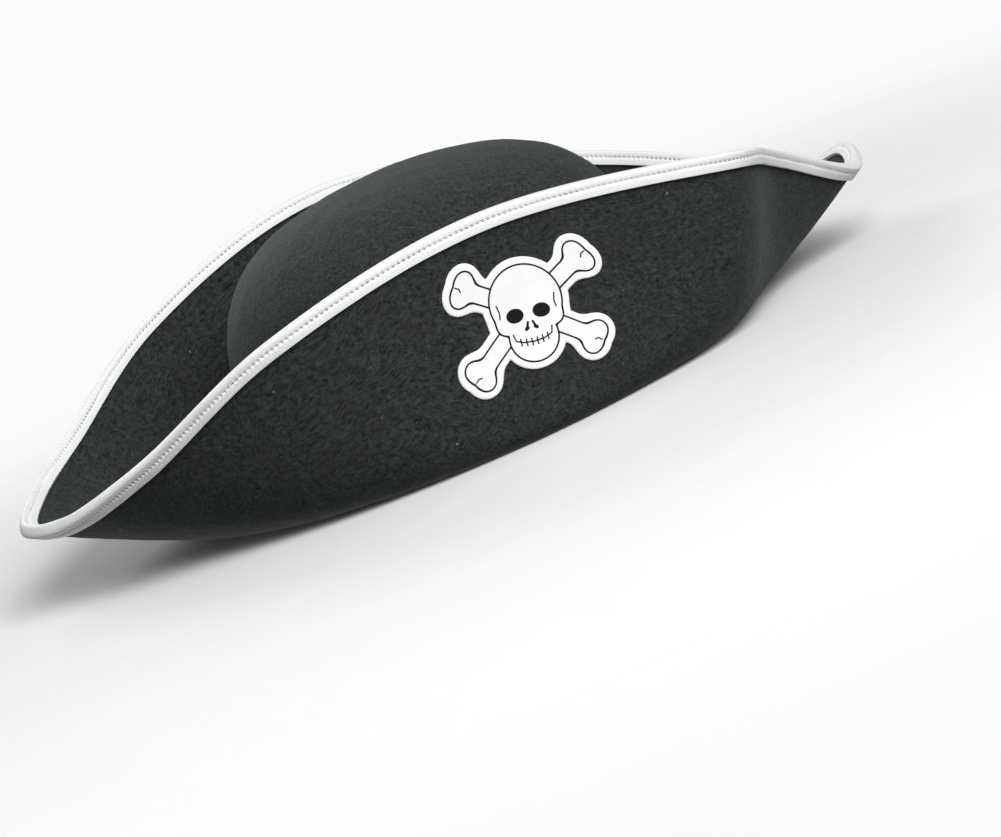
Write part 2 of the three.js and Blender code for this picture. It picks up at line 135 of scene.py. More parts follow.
def edge_point(angle):
    """The brim's outer edge: a cubic through the stations, smooth all the way round."""
    at = np.radians(EDGE_STATIONS[:, 0])
    place = EDGE_STATIONS[:, 1:]
    span = np.diff(np.append(at, at[0] + TURN))
    secant = (np.roll(place, -1, 0) - place) / span[:, None]
    before = np.roll(span, 1)
    slope = np.roll(secant, 1, 0) * span[:, None] + secant * before[:, None]
    slope /= (span + before)[:, None]
    turned = np.mod(angle, TURN)
    i = np.searchsorted(at, turned, side="right") - 1
    j = (i + 1) % len(at)
    width = span[i][..., None]
    u = (turned - at[i])[..., None] / width
    return (
        (2 * u**3 - 3 * u**2 + 1) * place[i]
        + (u**3 - 2 * u**2 + u) * width * slope[i]
        + (3 * u**2 - 2 * u**3) * place[j]
        + (u**3 - u**2) * width * slope[j]
    )


def from_foot(angle, outwards, z):
    """A point `outwards` from the crown's foot, square to its oval, at height z."""
    a, b = CROWN_HALF_WIDTH, CROWN_HALF_LENGTH
    c, s = np.cos(angle), np.sin(angle)
    length = np.hypot(c / a, s / b)
    x = a * c + outwards * c / a / length
    y = -b * s - outwards * s / b / length
    return np.stack(np.broadcast_arrays(x, y, z), -1).astype(float)


def section_controls(angle):
    """The four control points of the brim's section at each angle."""
    flap = np.sin(angle) ** 2
    between = np.sin(2 * angle) ** 2
    level = FELT / 2
    edge = edge_point(angle)
    foot = from_foot(angle, 0, level)
    knee = from_foot(angle, KNEE[0] + (KNEE[1] - KNEE[0]) * flap + KNEE[2] * between, level)
    chest = from_foot(angle, -FLAP_HOLLOW * flap, level)
    chest += (edge - foot) * (CHEST[0] + (CHEST[1] - CHEST[0]) * flap)[..., None]
    rise = CHEST_RISE[0] + (CHEST_RISE[1] - CHEST_RISE[0]) * flap + CHEST_RISE[2] * between
    chest[..., 2] = level + (edge[..., 2] - level) * rise
    return from_foot(angle, FLAT_RING, level), knee, chest, edge


def brim_middle(angle, t):
    """A point on the brim's mid-surface, t = 0 at the flat ring and t = 1 at the edge."""
    p0, p1, p2, p3 = section_controls(angle)
    t = np.asarray(t, float)[..., None]
    return (1 - t) ** 3 * p0 + 3 * (1 - t) ** 2 * t * p1 + 3 * (1 - t) * t**2 * p2 + t**3 * p3


def hand_forming(angle, t):
    """The slight unevenness of a brim turned up by hand, in millimetres across the felt."""
    broad = np.sin(5 * angle + 0.8) + 0.8 * np.sin(8 * angle + 2.1) + 0.5 * np.sin(13 * angle + 4.0)
    rolling = np.sin(3 * angle + 5 * t) * np.sin(math.pi * np.clip(t, 0, 1))
    return 0.28 * broad * t**2 + 0.45 * rolling


def brim_point(angle, t, lift):
    """A point `lift` above the brim's mid-surface, on the side that faces the crown."""
    angle, t, lift = np.broadcast_arrays(np.asarray(angle, float), np.asarray(t, float), lift)
    step = 1e-3
    here = brim_middle(angle, t)
    along = brim_middle(angle + step, t) - brim_middle(angle - step, t)
    across = brim_middle(angle, t + step) - brim_middle(angle, t - step)
    normal = unit(np.cross(along, across))
    return here + normal * (lift + hand_forming(angle, t))[..., None]


def inset_to_t(angle, inset):
    """How far along its section a point lies that is `inset` from the brim's edge."""
    _, _, chest, edge = section_controls(angle)
    return 1 - inset / (3 * np.linalg.norm(edge - chest, axis=-1))


CROWN_SHARE = (1, 0.94, 1.13, 0)  # control values of the share of the foot's oval
CROWN_RISE = (0, 0.4, 1, 1)  # and of the share of the crown's height


def bezier(values, t):
    a, b, c, d = values
    return (1 - t) ** 3 * a + 3 * (1 - t) ** 2 * t * b + 3 * (1 - t) * t**2 * c + t**3 * d


def crown_point(angle, t, inwards):
    """A point on the crown, t = 0 at the foot and t = 1 at the top, `inwards` of its outside."""
    height = CROWN_TOP - inwards - CROWN_FOOT
    foot = from_foot(angle, -inwards, 0)
    share = bezier(CROWN_SHARE, t)
    z = CROWN_FOOT + height * bezier(CROWN_RISE, t)
    return np.stack(np.broadcast_arrays(foot[..., 0] * share, foot[..., 1] * share, z), -1)


def wall_point(angle, inwards, z):
    """A point at height z that lies `inwards` of the crown's outer wall."""
    t = np.linspace(0, 1, 400)
    heights = CROWN_FOOT + (CROWN_TOP - CROWN_FOOT) * bezier(CROWN_RISE, t)
    share = bezier(CROWN_SHARE, np.interp(z, heights, t))
    foot = from_foot(angle, -np.asarray(inwards, float), z)
    foot[..., 0] *= share
    foot[..., 1] *= share
    return foot


def travelled(points):
    """Length along a row of points, starting from 0."""
    return np.append(0, np.cumsum(np.linalg.norm(np.diff(points, axis=0), axis=1)))


def angles_by_length(curve, count):
    """Angles from the rear all the way round, evenly spaced along a closed curve, and its length."""
    dense = REAR + np.linspace(0, TURN, 6001)
    reached = travelled(curve(dense))
    wanted = reached[-1] * np.arange(count) / count
    return np.interp(wanted, reached, dense), reached[-1]


def waves(points, size, seed, count=28):
    """Smooth seeded unevenness between about -1 and 1, with features of about the given size."""
    random = np.random.default_rng(seed)
    directions = unit(random.normal(size=(count, 3)))
    lengths = size * random.uniform(0.7, 1.6, count)
    phases = random.uniform(0, TURN, count)
    total = np.zeros(points.shape[:-1])
    for direction, length, phase in zip(directions, lengths, phases):
        total += np.sin(points @ direction * (TURN / length) + phase)
    return total / math.sqrt(count)


# ---------------------------------------------------------------- mesh making

def make_piece(name, points, faces, look, replaces, body="hat", sharp=50):
    """A mesh object in metres that rides on a body and stands for CAD nodes."""
    mesh = bpy.data.meshes.new(name)
    mesh.from_pydata((np.asarray(points).reshape(-1, 3) * MM).tolist(), [], faces)
    mesh.update()
    piece = bpy.data.objects.new(name, mesh)
    bpy.context.scene.collection.objects.link(piece)
    mesh.materials.append(look)
    mesh.polygons.foreach_set("use_smooth", [True] * len(mesh.polygons))
    mesh.set_sharp_from_angle(angle=math.radians(sharp))
    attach(piece, body)
    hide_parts(*replaces)
    return piece


def grid_faces(rows, columns, close_rows=False):
    """Quads of a grid of points whose rows each close on themselves."""
    last = rows if close_rows else rows - 1
    r, c = np.meshgrid(np.arange(last), np.arange(columns), indexing="ij")
    below = (r + 1) % rows
    right = (c + 1) % columns
    quads = [r * columns + c, below * columns + c, below * columns + right, r * columns + right]
    return np.stack(quads, -1).reshape(-1, 4).tolist()


def set_grid_uv(piece, u, v):
    """Cloth coordinates in metres on a grid_faces mesh: u along a row, and v from row to row.
    Both hold one value more than the grid has points where the grid closes."""
    rows = len(v) - 1
    columns = len(u) - 1
    r, c = np.meshgrid(np.arange(rows), np.arange(columns), indexing="ij")
    corners = [(r, c), (r + 1, c), (r + 1, c + 1), (r, c + 1)]
    uv = np.stack([np.stack([u[cc], v[rr]], -1) for rr, cc in corners], 2)
    layer = piece.data.uv_layers.new(name="cloth")
    layer.data.foreach_set("uv", (uv * MM).astype(np.float32).ravel())


def weld(piece, distance=1e-6):
    """Merges points that coincide, and turns all faces outwards."""
    made = bmesh.new()
    made.from_mesh(piece.data)
    bmesh.ops.remove_doubles(made, verts=made.verts, dist=distance)
    bmesh.ops.recalc_face_normals(made, faces=made.faces)
    made.to_mesh(piece.data)
    made.free()


def roughen(piece, moves):
    """Moves each point along its normal by seeded waves: (height in mm, size in mm, seed) each."""
    mesh = piece.data
    count = len(mesh.vertices)
    points = np.empty(count * 3)
    mesh.vertices.foreach_get("co", points)
    points = points.reshape(-1, 3)
    normals = np.empty(count * 3)
    mesh.vertices.foreach_get("normal", normals)
    offset = sum(height * waves(points / MM, size, seed) for height, size, seed in moves)
    points += normals.reshape(-1, 3) * (offset * MM)[:, None]
    mesh.vertices.foreach_set("co", points.ravel())
    mesh.update()


def tubes(centres, up, radius, sides=8):
    """Points and faces of closed round runs. centres and up are (runs, points along, 3)."""
    runs, count, _ = centres.shape
    along = unit(np.gradient(centres, axis=1))
    side = unit(np.cross(along, up))
    up = np.cross(side, along)
    taper = np.sin(np.linspace(0.12, 0.88, count) * math.pi) ** 0.35
    turn = TURN * np.arange(sides) / sides
    ring = side[:, :, None] * np.cos(turn)[:, None] + up[:, :, None] * np.sin(turn)[:, None]
    points = centres[:, :, None] + ring * (radius * taper)[None, :, None, None]
    one = grid_faces(count, sides)
    size = count * sides
    faces = [[i + run * size for i in face] for run in range(runs) for face in one]
    first = list(range(sides))
    final = list(range(size - 1, size - sides - 1, -1))
    faces += [[i + run * size for i in cap] for run in range(runs) for cap in (first, final)]
    return points.reshape(-1, 3), faces


def stitch_runs(curve, pitch, fill=0.78, count=7, sink=0.35):
    """Centre lines of a row of stitches along a closed curve of (angle, lift) -> point."""
    _, length = angles_by_length(lambda angle: curve(angle, 0), 1)
    stitches = int(round(length / pitch))
    starts, _ = angles_by_length(lambda angle: curve(angle, 0), stitches)
    width = np.diff(np.append(starts, starts[0] + TURN))
    share = np.linspace(0.5 - fill / 2, 0.5 + fill / 2, count)
    angle = starts[:, None] + width[:, None] * share
    dip = -sink * np.abs(np.linspace(-1, 1, count)) ** 3
    centres = curve(angle, dip)
    up = unit(curve(angle, dip + 1) - centres)
    return centres, up


# ---------------------------------------------------------------- materials

class Graph:
    """One material's node tree, built with short calls."""

    def __init__(self, name, **inputs):
        self.material = bpy.data.materials.new(name)
        self.material.use_nodes = True
        self.tree = self.material.node_tree
        self.shader = self.tree.nodes["Principled BSDF"]
        self.set(self.shader, inputs)

    def set(self, node, inputs):
        for name, value in inputs.items():
            socket = node.inputs[name if isinstance(name, int) else name.replace("_", " ")]
            if isinstance(value, bpy.types.NodeSocket):
                self.tree.links.new(value, socket)
            else:
                socket.default_value = value

    def add(self, kind, settings=(), **inputs):
        node = self.tree.nodes.new("ShaderNode" + kind)
        for name, value in dict(settings).items():
            setattr(node, name, value)
        self.set(node, inputs)
        return node

    def math(self, operation, a, b):
        node = self.add("Math", {"operation": operation})
        self.set(node, {0: a, 1: b})
        return node.outputs[0]

    def ramp(self, value, low, high, start=0.0, end=1.0):
        node = self.add("MapRange", Value=value)
        self.set(node, {"From Min": low, "From Max": high, "To Min": start, "To Max": end})
        return node.outputs[0]

    def blend(self, share, a, b):
        node = self.add("Mix", {"data_type": "RGBA"})
        self.set(node, {0: share, 6: a, 7: b})
        return node.outputs[2]

    def object_place(self):
        return self.add("TexCoord").outputs["Object"]

    def cloth_place(self, turn=0.0):
        """Cloth coordinates in metres, turned by a number of degrees."""
        uv = self.add("UVMap", {"uv_map": "cloth"}).outputs[0]
        return self.mapped(uv, turn)

    def mapped(self, place, turn=0.0, stretch=(1, 1, 1)):
        node = self.add("Mapping", Vector=place)
        node.inputs["Rotation"].default_value = (0, 0, math.radians(turn))
        node.inputs["Scale"].default_value = stretch
        return node.outputs[0]

    def noise(self, place, size_mm, detail=3, roughness=0.6):
        """Noise with features of about the given size."""
        scale = 1 / (size_mm * MM)
        node = self.add("TexNoise", Vector=place, Scale=scale, Detail=detail, Roughness=roughness)
        return node.outputs[0]

    def wandering(self, place, size_mm, reach_mm):
        """Coordinates pushed about by up to reach_mm, in swirls of about size_mm."""
        push = self.add("TexNoise", Vector=place, Scale=1 / (size_mm * MM), Detail=1)
        push = self.add("VectorMath", {"operation": "SCALE"}, Vector=push.outputs["Color"],
                        Scale=reach_mm * MM)
        moved = self.add("VectorMath", {"operation": "ADD"})
        self.set(moved, {0: place, 1: push.outputs[0]})
        return moved.outputs[0]

    def wave(self, place, pitch_mm, axis="X", distortion=0.0):
        """Rounded ribs across an axis, one every pitch_mm."""
        settings = {"wave_type": "BANDS", "bands_direction": axis, "wave_profile": "SIN"}
        scale = math.pi / 10 / (pitch_mm * MM)
        node = self.add("TexWave", settings, Vector=place, Scale=scale, Distortion=distortion)
        return node.outputs["Fac"]

    def bump(self, height, depth_mm, strength=1.0, under=None):
        node = self.add("Bump", Height=height, Strength=strength, Distance=depth_mm * MM)
        if under is not None:
            self.set(node, {"Normal": under})
        return node.outputs[0]


def grey(value, tint=(1, 1, 1)):
    return (value * tint[0], value * tint[1], value * tint[2], 1)


def felt_look(name, grain_turn):
    """Black pressed felt: matted fibres with a wandering lay, a soft sheen and specks of lint."""
    g = Graph(name, Roughness=0.95, Sheen_Weight=0.1, Sheen_Roughness=0.5)
    g.shader.inputs["Specular IOR Level"].default_value = 0.12
    g.shader.inputs["Sheen Tint"].default_value = (0.8, 0.9, 0.88, 1)
    place = g.object_place()
    cloth = g.wandering(g.cloth_place(), 38, 26)
    lay = g.noise(g.mapped(cloth, grain_turn, (0.42, 1, 1)), 1.1, 4, 0.72)
    cross = g.noise(g.mapped(cloth, grain_turn + 35, (0.5, 1, 1)), 0.9, 3, 0.65)
    matted = g.noise(place, 2.6, 5, 0.78)
    fibres = g.math("ADD", g.math("MULTIPLY", lay, 0.42), g.math("MULTIPLY", cross, 0.28))
    fibres = g.math("ADD", fibres, g.math("MULTIPLY", matted, 0.3))
    patchy = g.noise(place, 12, 4, 0.7)
    dark = grey(0.0015, (1.0, 1.15, 1.12))
    light = grey(0.064, (0.9, 1.06, 1.0))
    colour = g.blend(g.ramp(fibres, 0.38, 0.66), dark, light)
    warm = grey(0.02, (1.2, 0.98, 0.98))
    colour = g.blend(g.math("MULTIPLY", g.ramp(patchy, 0.42, 0.68), 0.3), colour, warm)
    faint = lint_specks(g, place, 3.2, 0.72, 0.09, 0.3)
    clear = lint_specks(g, place, 7, 0.8, 0.055, 0.8)
    lint = g.math("MAXIMUM", faint, clear)
    g.set(g.shader, {"Base Color": g.blend(lint, colour, grey(0.26))})
    fine = g.bump(fibres, 0.75, 0.65)
    g.set(g.shader, {"Normal": g.bump(matted, 0.4, 0.4, fine)})
    return g.material


def lint_specks(g, place, spacing_mm, bare_share, size, strength):
    """A mask of sparse specks: a small dot in those few cells that aren't left bare."""
    turned = g.mapped(place, 20, (1, 0.55, 1))
    cells = g.add("TexVoronoi", Vector=turned, Scale=1 / (spacing_mm * MM))
    small = g.ramp(cells.outputs["Distance"], 0.6 * size, 1.4 * size, 1, 0)
    chosen = g.ramp(cells.outputs["Color"], bare_share, bare_share + 0.02)
    return g.math("MULTIPLY", g.math("MULTIPLY", small, chosen), strength)


def braid_look():
    """White polyester braid: fine yarns that slant both ways, slightly soiled here and there."""
    g = Graph("braid_white", Roughness=0.5, Sheen_Weight=0.25, Sheen_Roughness=0.4)
    yarn = g.wave(g.cloth_place(38), 0.75, distortion=0.3)
    counter = g.wave(g.cloth_place(-38), 0.75, distortion=0.3)
    weave = g.math("MAXIMUM", yarn, g.math("MULTIPLY", counter, 0.8))
    soft = g.noise(g.object_place(), 6, 3)
    colour = g.blend(weave, grey(0.74, (0.98, 1, 1.03)), grey(0.93))
    colour = g.blend(g.math("MULTIPLY", g.ramp(soft, 0.45, 0.75), 0.15), colour, grey(0.72))
    g.set(g.shader, {"Base Color": colour, "Normal": g.bump(weave, 0.12, 0.7)})
    return g.material


def thread_look(name, light, dark):
    """Sewing thread: a fine twist over a plain colour."""
    g = Graph(name, Roughness=0.55, Sheen_Weight=0.2)
    twist = g.noise(g.object_place(), 0.35, 2)
    g.set(g.shader, {"Base Color": g.blend(g.ramp(twist, 0.35, 0.65), dark, light)})
    g.set(g.shader, {"Normal": g.bump(twist, 0.1, 0.6)})
    return g.material


def band_look():
    """Black grosgrain ribbon: crosswise ribs with a dull sheen."""
    g = Graph("grosgrain_black", Roughness=0.62, Sheen_Weight=0.3, Sheen_Roughness=0.35)
    ribs = g.wave(g.cloth_place(), 0.9)
    yarns = g.wave(g.cloth_place(90), 0.3, distortion=0.5)
    worn = g.noise(g.object_place(), 14, 3)
    shade = g.math("ADD", g.math("MULTIPLY", ribs, 0.7), g.math("MULTIPLY", yarns, 0.3))
    colour = g.blend(shade, grey(0.008), grey(0.032))
    colour = g.blend(g.math("MULTIPLY", g.ramp(worn, 0.5, 0.75), 0.3), colour, grey(0.04))
    g.set(g.shader, {"Base Color": colour, "Normal": g.bump(shade, 0.15, 0.6)})
    return g.material


def patch_look():
    """The patch's white face: coated twill that shows faintly through its coating."""
    g = Graph("patch_white", Roughness=0.42)
    place = g.object_place()
    twill = g.wave(place, 0.55, "DIAGONAL", 0.6)
    cloudy = g.noise(place, 9, 3)
    colour = g.blend(g.ramp(cloudy, 0.35, 0.7), grey(0.92), grey(0.87, (1, 1, 0.99)))
    g.set(g.shader, {"Base Color": colour, "Normal": g.bump(twill, 0.05, 0.35)})
    g.shader.inputs["Coat Weight"].default_value = 0.15
    g.shader.inputs["Coat Roughness"].default_value = 0.3
    return g.material


def ink_look():
    """Printed black: slightly uneven cover with a soft shine."""
    g = Graph("ink_black", Roughness=0.6)
    g.shader.inputs["Specular IOR Level"].default_value = 0.15
    cover = g.noise(g.object_place(), 1.2, 4)
    warmth = (1.3, 1, 1.1)
    colour = g.blend(g.ramp(cover, 0.35, 0.75), grey(0.004, warmth), grey(0.012, warmth))
    g.set(g.shader, {"Base Color": colour, "Normal": g.bump(cover, 0.05, 0.3)})
    return g.material


def satin_look():
    """White satin ribbon: long floats that shine across the ribbon."""
    g = Graph("satin_white", Roughness=0.34, Anisotropic=0.6, Sheen_Weight=0.15)
    place = g.object_place()
    floats = g.noise(g.mapped(place, 0, (0.2, 1, 1)), 0.4, 2)
    weave = g.wave(place, 0.45, "Z", 0.4)
    both = g.math("ADD", g.math("MULTIPLY", floats, 0.6), g.math("MULTIPLY", weave, 0.4))
    g.set(g.shader, {"Base Color": g.blend(both, grey(0.74), grey(0.9, (1, 1, 0.98)))})
    g.set(g.shader, {"Normal": g.bump(both, 0.06, 0.5)})
    return g.material


FELT_BRIM_LOOK = felt_look("felt_black_brim", 12)
FELT_CROWN_LOOK = felt_look("felt_black_crown", 90)
BRAID_LOOK = braid_look()
# The white thread is coloured dark grey: painted shade for the shadowed dimples where each stitch pulls
# into the braid.
WHITE_THREAD_PAINTED_SHADE_LOOK = thread_look("thread_white", grey(0.34), grey(0.16))
BLACK_THREAD_LOOK = thread_look("thread_black", grey(0.03), grey(0.01))
BAND_LOOK = band_look()
PATCH_LOOK = patch_look()
INK_LOOK = ink_look()
SATIN_LOOK = satin_look()


# ---------------------------------------------------------------- felt

def felt_crown():
    """The domed crown: two faces of a felt shell with a rounded foot."""
    columns = 300
    mean_radius = 97
    angle = REAR + TURN * np.arange(columns) / columns
    t = np.linspace(0, 1, 72) ** 0.9
    outside = [crown_point(angle, share, 0) for share in t]
    inside = [crown_point(angle, share, FELT) for share in t]
    outside[0] = from_foot(angle, 0, CROWN_FOOT + CROWN_FOOT_ROUNDING)
    inside[0] = from_foot(angle, -FELT, CROWN_FOOT + CROWN_FOOT_ROUNDING)
    foot = []
    for a in np.linspace(0, math.pi, 7)[1:-1]:
        depth = FELT / 2 * (1 - math.cos(a))
        foot.append(from_foot(angle, -depth, CROWN_FOOT + CROWN_FOOT_ROUNDING * (1 - math.sin(a))))
    rows = outside[::-1] + foot + inside
    points = np.stack(rows)
    piece = make_piece("felt_crown", points, grid_faces(len(rows), columns), FELT_CROWN_LOOK,
                       ["crown"])
    around = TURN * mean_radius * np.arange(columns + 1) / columns
    set_grid_uv(piece, around, travelled(points[:, 0]))
    weld(piece)
    roughen(piece, [(0.15, 60, 1), (0.1, 17, 2), (0.05, 4.5, 3)])


def brim_section():
    """Where the brim's section goes, from the collar's top down its inner face, out along the
    underside, round the edge and back over the top: a list of functions of angle."""
    outside = -(FELT + GAP)
    inside = outside - FELT
    straight_top = COLLAR_TOP - COLLAR_LIP
    ring = (0.5, 2.3, FLAT_RING)
    rows = []

    def collar(inwards, z):
        rows.append(lambda angle: wall_point(angle, inwards, z))

    def foot(outwards, z):
        rows.append(lambda angle: from_foot(angle, outwards, z))

    def across(t, lift):
        rows.append(lambda angle: brim_point(angle, inset_to_t(angle, BRAID_WIDTH) * t, lift))

    def at_edge(inset, lift):
        rows.append(lambda angle: brim_point(angle, inset_to_t(angle, inset), lift))

    for z in np.linspace(straight_top, COLLAR_FILLET, 4):
        collar(-inside, z)
    for a in np.linspace(0, FRONT, 8)[1:]:
        r = COLLAR_FILLET
        foot(inside + r * (1 - math.cos(a)), r * (1 - math.sin(a)))
    for outwards in ring:
        foot(outwards, 0)
    span = np.linspace(0, 1, 58)[1:]
    for t in span:
        across(t, -FELT / 2)
    rim_inset = 1.8
    for a in np.linspace(-FRONT, FRONT, 7):
        at_edge(rim_inset + FELT / 2 * (1 - math.cos(a)), FELT / 2 * math.sin(a))
    for t in span[::-1]:
        across(t, FELT / 2)
    for outwards in ring[::-1]:
        foot(outwards, FELT)
    for a in np.linspace(FRONT, 0, 5):
        r = COLLAR_INNER_FILLET
        foot(outside + r * (1 - math.cos(a)), FELT + r * (1 - math.sin(a)))
    for z in (6, straight_top):
        collar(-outside, z)
    for a in np.linspace(0, math.pi, 6)[1:-1]:
        collar(-outside + FELT / 2 * (1 - math.cos(a)), straight_top + COLLAR_LIP * math.sin(a))
    return rows


def felt_brim():
    """The brim: collar, flat ring and the turned-up flaps that meet in two wings."""
    columns = 540
    angle, length = angles_by_length(edge_point, columns)
    points = np.stack([row(angle) for row in brim_section()])
    faces = grid_faces(len(points), columns, close_rows=True)
    piece = make_piece("felt_brim", points, faces, FELT_BRIM_LOOK, ["brim"])
    front = columns // 2
    down = travelled(np.concatenate([points[:, front], points[:1, front]]))
    set_grid_uv(piece, length * np.arange(columns + 1) / columns, down)
    weld(piece)
    roughen(piece, [(0.08, 15, 5), (0.05, 5, 6)])


# ---------------------------------------------------------------- braid

def braid_outline():
    """The folded braid's section as (inset, lift, groove) rows: two padded ridges on each face
    with the stitched groove between them, and the channel that holds the felt."""
    channel = FELT / 2 + GAP
    seam = BRAID_STITCH_FROM_EDGE
    groove_half_width = 0.5
    leg_rounding = 0.5
    half = []
    for a in np.linspace(0, FRONT, 8):
        half.append((1 - math.cos(a), BRAID_LIFT * math.sin(a) ** 0.75, 0))
    for away in (-0.9, -0.6, -0.35, 0, 0.35, 0.6, 0.9, 1.3):
        groove = math.exp(-((away / groove_half_width) ** 2))
        half.append((seam + away, BRAID_LIFT, groove))
    half.append((5.4, BRAID_LIFT, 0))
    for a in np.linspace(0, FRONT, 5)[1:]:
        drop = (BRAID_LIFT - channel) * (1 - math.cos(a))
        half.append((BRAID_WIDTH - leg_rounding * (1 - math.sin(a)), BRAID_LIFT - drop, 0))
    inner = [(BRAID_WIDTH - 0.1, channel, 0), (4, channel, 0), (1.75, channel, 0)]
    upper = half + inner
    mirrored = [(inset, -lift, groove) for inset, lift, groove in upper]
    return upper + mirrored[:0:-1]


def edge_braid():
    """The white braid folded over the brim's edge."""
    columns = 2400
    angle, length = angles_by_length(edge_point, columns)
    along = length * np.arange(columns) / columns
    stitches = round(length / BRAID_PITCH)
    pull = 0.5 + 0.5 * np.cos(TURN * stitches * along / length)
    swell = 0.06 * np.sin(along / 5.3) + 0.05 * np.sin(along / 3.1 + 1)
    # The braid's two ends lap at the rear, where it stands a little thicker.
    lap_half_length, lap_lift = 4.5, 0.35
    lap = lap_lift * np.clip(1.5 - np.minimum(along, length - along) / lap_half_length, 0, 1)
    rows = []
    for inset, lift, groove in braid_outline():
        side = np.sign(lift)
        outer = abs(lift) > FELT / 2 + GAP
        moved = lift - side * groove * BRAID_GROOVE * pull + side * outer * (swell + lap)
        rows.append(brim_point(angle, inset_to_t(angle, inset), moved))
    points = np.stack(rows)
    faces = grid_faces(len(points), columns, close_rows=True)
    piece = make_piece("edge_braid_white", points, faces, BRAID_LOOK, ["edge_braid"])
    around = travelled(np.concatenate([points[:, 0], points[:1, 0]]))
    set_grid_uv(piece, length * np.arange(columns + 1) / columns, around)
    weld(piece)


def braid_stitches(side, name, node):
    """One row of lockstitches down the braid's groove, on its upper (1) or under (-1) face."""
    above_groove = 0.22
    rest = BRAID_LIFT - BRAID_GROOVE + above_groove

    def seam(angle, lift):
        t = inset_to_t(angle, BRAID_STITCH_FROM_EDGE)
        return brim_point(angle, t, side * (rest + lift))

    points, faces = tubes(*stitch_runs(seam, BRAID_PITCH), THREAD_RADIUS)
    # The thread's dark grey is painted shade that stands for the shadowed stitch dimples.
    piece = make_piece(name, points, faces, WHITE_THREAD_PAINTED_SHADE_LOOK, [node])
    weld(piece)


# ---------------------------------------------------------------- sweatband

BAND_OUT = 2 * (FELT + GAP)  # from the crown's outside in to the band
BAND_THICKNESS = 1.0
BAND_ROUNDING = (0.5, 0.9)  # of its rolled edges, across and up
RIB_PITCH = 1.1
RIB_HEIGHT = 0.09
BAND_LAP_AT = REAR + math.radians(40)
BAND_LAP_LIFT = 0.4


def sweatband():
    """Grosgrain band round the head opening, with real ribs and a lapped join."""
    columns = 2200
    bottom, top = BAND_BOX[0][2], BAND_BOX[1][2]
    angle, length = angles_by_length(lambda a: wall_point(a, BAND_OUT, 15), columns)
    along = length * np.arange(columns) / columns
    ribs = round(length / RIB_PITCH)
    rib = RIB_HEIGHT * np.cos(TURN * ribs * along / length)
    lap_radius, lap_half_length, lap_slope = 95, 7, 0.6
    from_lap = np.abs(angle - BAND_LAP_AT) * lap_radius - lap_half_length
    lap = BAND_LAP_LIFT * np.clip(1 - from_lap / lap_slope, 0, 1)
    wander = 0.12 * np.sin(7 * angle) + 0.08 * np.sin(11 * angle + 1)
    face = BAND_OUT + BAND_THICKNESS
    back = BAND_OUT + 0.15
    deep, tall = BAND_ROUNDING
    ribbed_from = 1.2
    rows = [wall_point(angle, back, bottom + 0.1)]
    for a in np.linspace(0.2, 1, 4) * FRONT:
        z = bottom + tall * (1 - math.sin(a))
        rows.append(wall_point(angle, face - deep * math.cos(a), z))
    for z in np.linspace(bottom + ribbed_from, top - ribbed_from, 9):
        rise = (z - bottom) / (top - bottom)
        rows.append(wall_point(angle, face + rib + lap + wander * rise, z))
    for a in np.linspace(1, 0.2, 4) * FRONT:
        z = top - tall * (1 - math.sin(a))
        rows.append(wall_point(angle, face - deep * math.cos(a) + wander, z))
    rows.append(wall_point(angle, back, top - 0.1))
    points = np.stack(rows)
    faces = grid_faces(len(points), columns, close_rows=True)
    piece = make_piece("sweatband_grosgrain", points, faces, BAND_LOOK, ["sweatband"])
    around = travelled(np.concatenate([points[:, 0], points[:1, 0]]))
    set_grid_uv(piece, length * np.arange(columns + 1) / columns, around)
    weld(piece)


HEAD_SEAM_HEIGHT = 6.5
HEAD_SEAM_PITCH = 4.2


def head_seam_stitches():
    """The stitches that hold band, collar and crown together, seen inside the opening."""
    above_band = 0.12
    rest = BAND_OUT + BAND_THICKNESS + above_band

    def seam(angle, lift):
        return wall_point(angle, rest + lift, HEAD_SEAM_HEIGHT)

    points, faces = tubes(*stitch_runs(seam, HEAD_SEAM_PITCH), THREAD_RADIUS)
    piece = make_piece("head_seam_stitches", points, faces, BLACK_THREAD_LOOK,
                       ["head_seam_thread"])
    weld(piece)


# ---------------------------------------------------------------- care label

LABEL_THICKNESS = 0.28
LABEL_CORNER = 1.5
LABEL_CURL = 0.9
LABEL_STITCHES = 7
LABEL_THREAD_RADIUS = 0.24


def care_label():
    """A satin label that hangs from its stitched top edge, with slightly curling corners."""
    low, high = LABEL_BOX
    half_width = (high[0] - low[0]) / 2
    middle_y = (low[1] + high[1]) / 2
    height = high[2] - low[2]
    across, down = np.meshgrid(np.linspace(-1, 1, 41), np.linspace(0, 1, 33))
    cut = np.clip(LABEL_CORNER - (1 - down) * height, 0, LABEL_CORNER)
    half = half_width - LABEL_CORNER + np.sqrt(np.maximum(LABEL_CORNER**2 - cut**2, 0))
    px = across * half
    pz = high[2] - down * height
    curl = LABEL_CURL * down**2 * (0.35 + 0.65 * across**2) + 0.18 * np.sin(3 * across) * down
    sheets = []
    for face in (-1, 1):
        py = middle_y - curl + face * LABEL_THICKNESS / 2
        sheets.append(np.stack([px, py, pz], -1))
    points = np.concatenate([sheet.reshape(-1, 3) for sheet in sheets])
    rows, columns = across.shape
    faces = []
    size = rows * columns
    for r in range(rows - 1):
        for c in range(columns - 1):
            i = r * columns + c
            faces.append([i, i + 1, i + columns + 1, i + columns])
            faces.append([size + k for k in (i, i + columns, i + columns + 1, i + 1)])
    rim = list(range(columns))
    rim += [r * columns + columns - 1 for r in range(1, rows)]
    rim += [(rows - 1) * columns + c for c in range(columns - 2, -1, -1)]
    rim += [r * columns for r in range(rows - 2, 0, -1)]
    for a, b in zip(rim, rim[1:] + rim[:1]):
        faces.append([b, a, size + a, size + b])
    piece = make_piece("care_label_satin", points, faces, SATIN_LOOK, ["care_label"],
                       body="care_label")
    weld(piece)


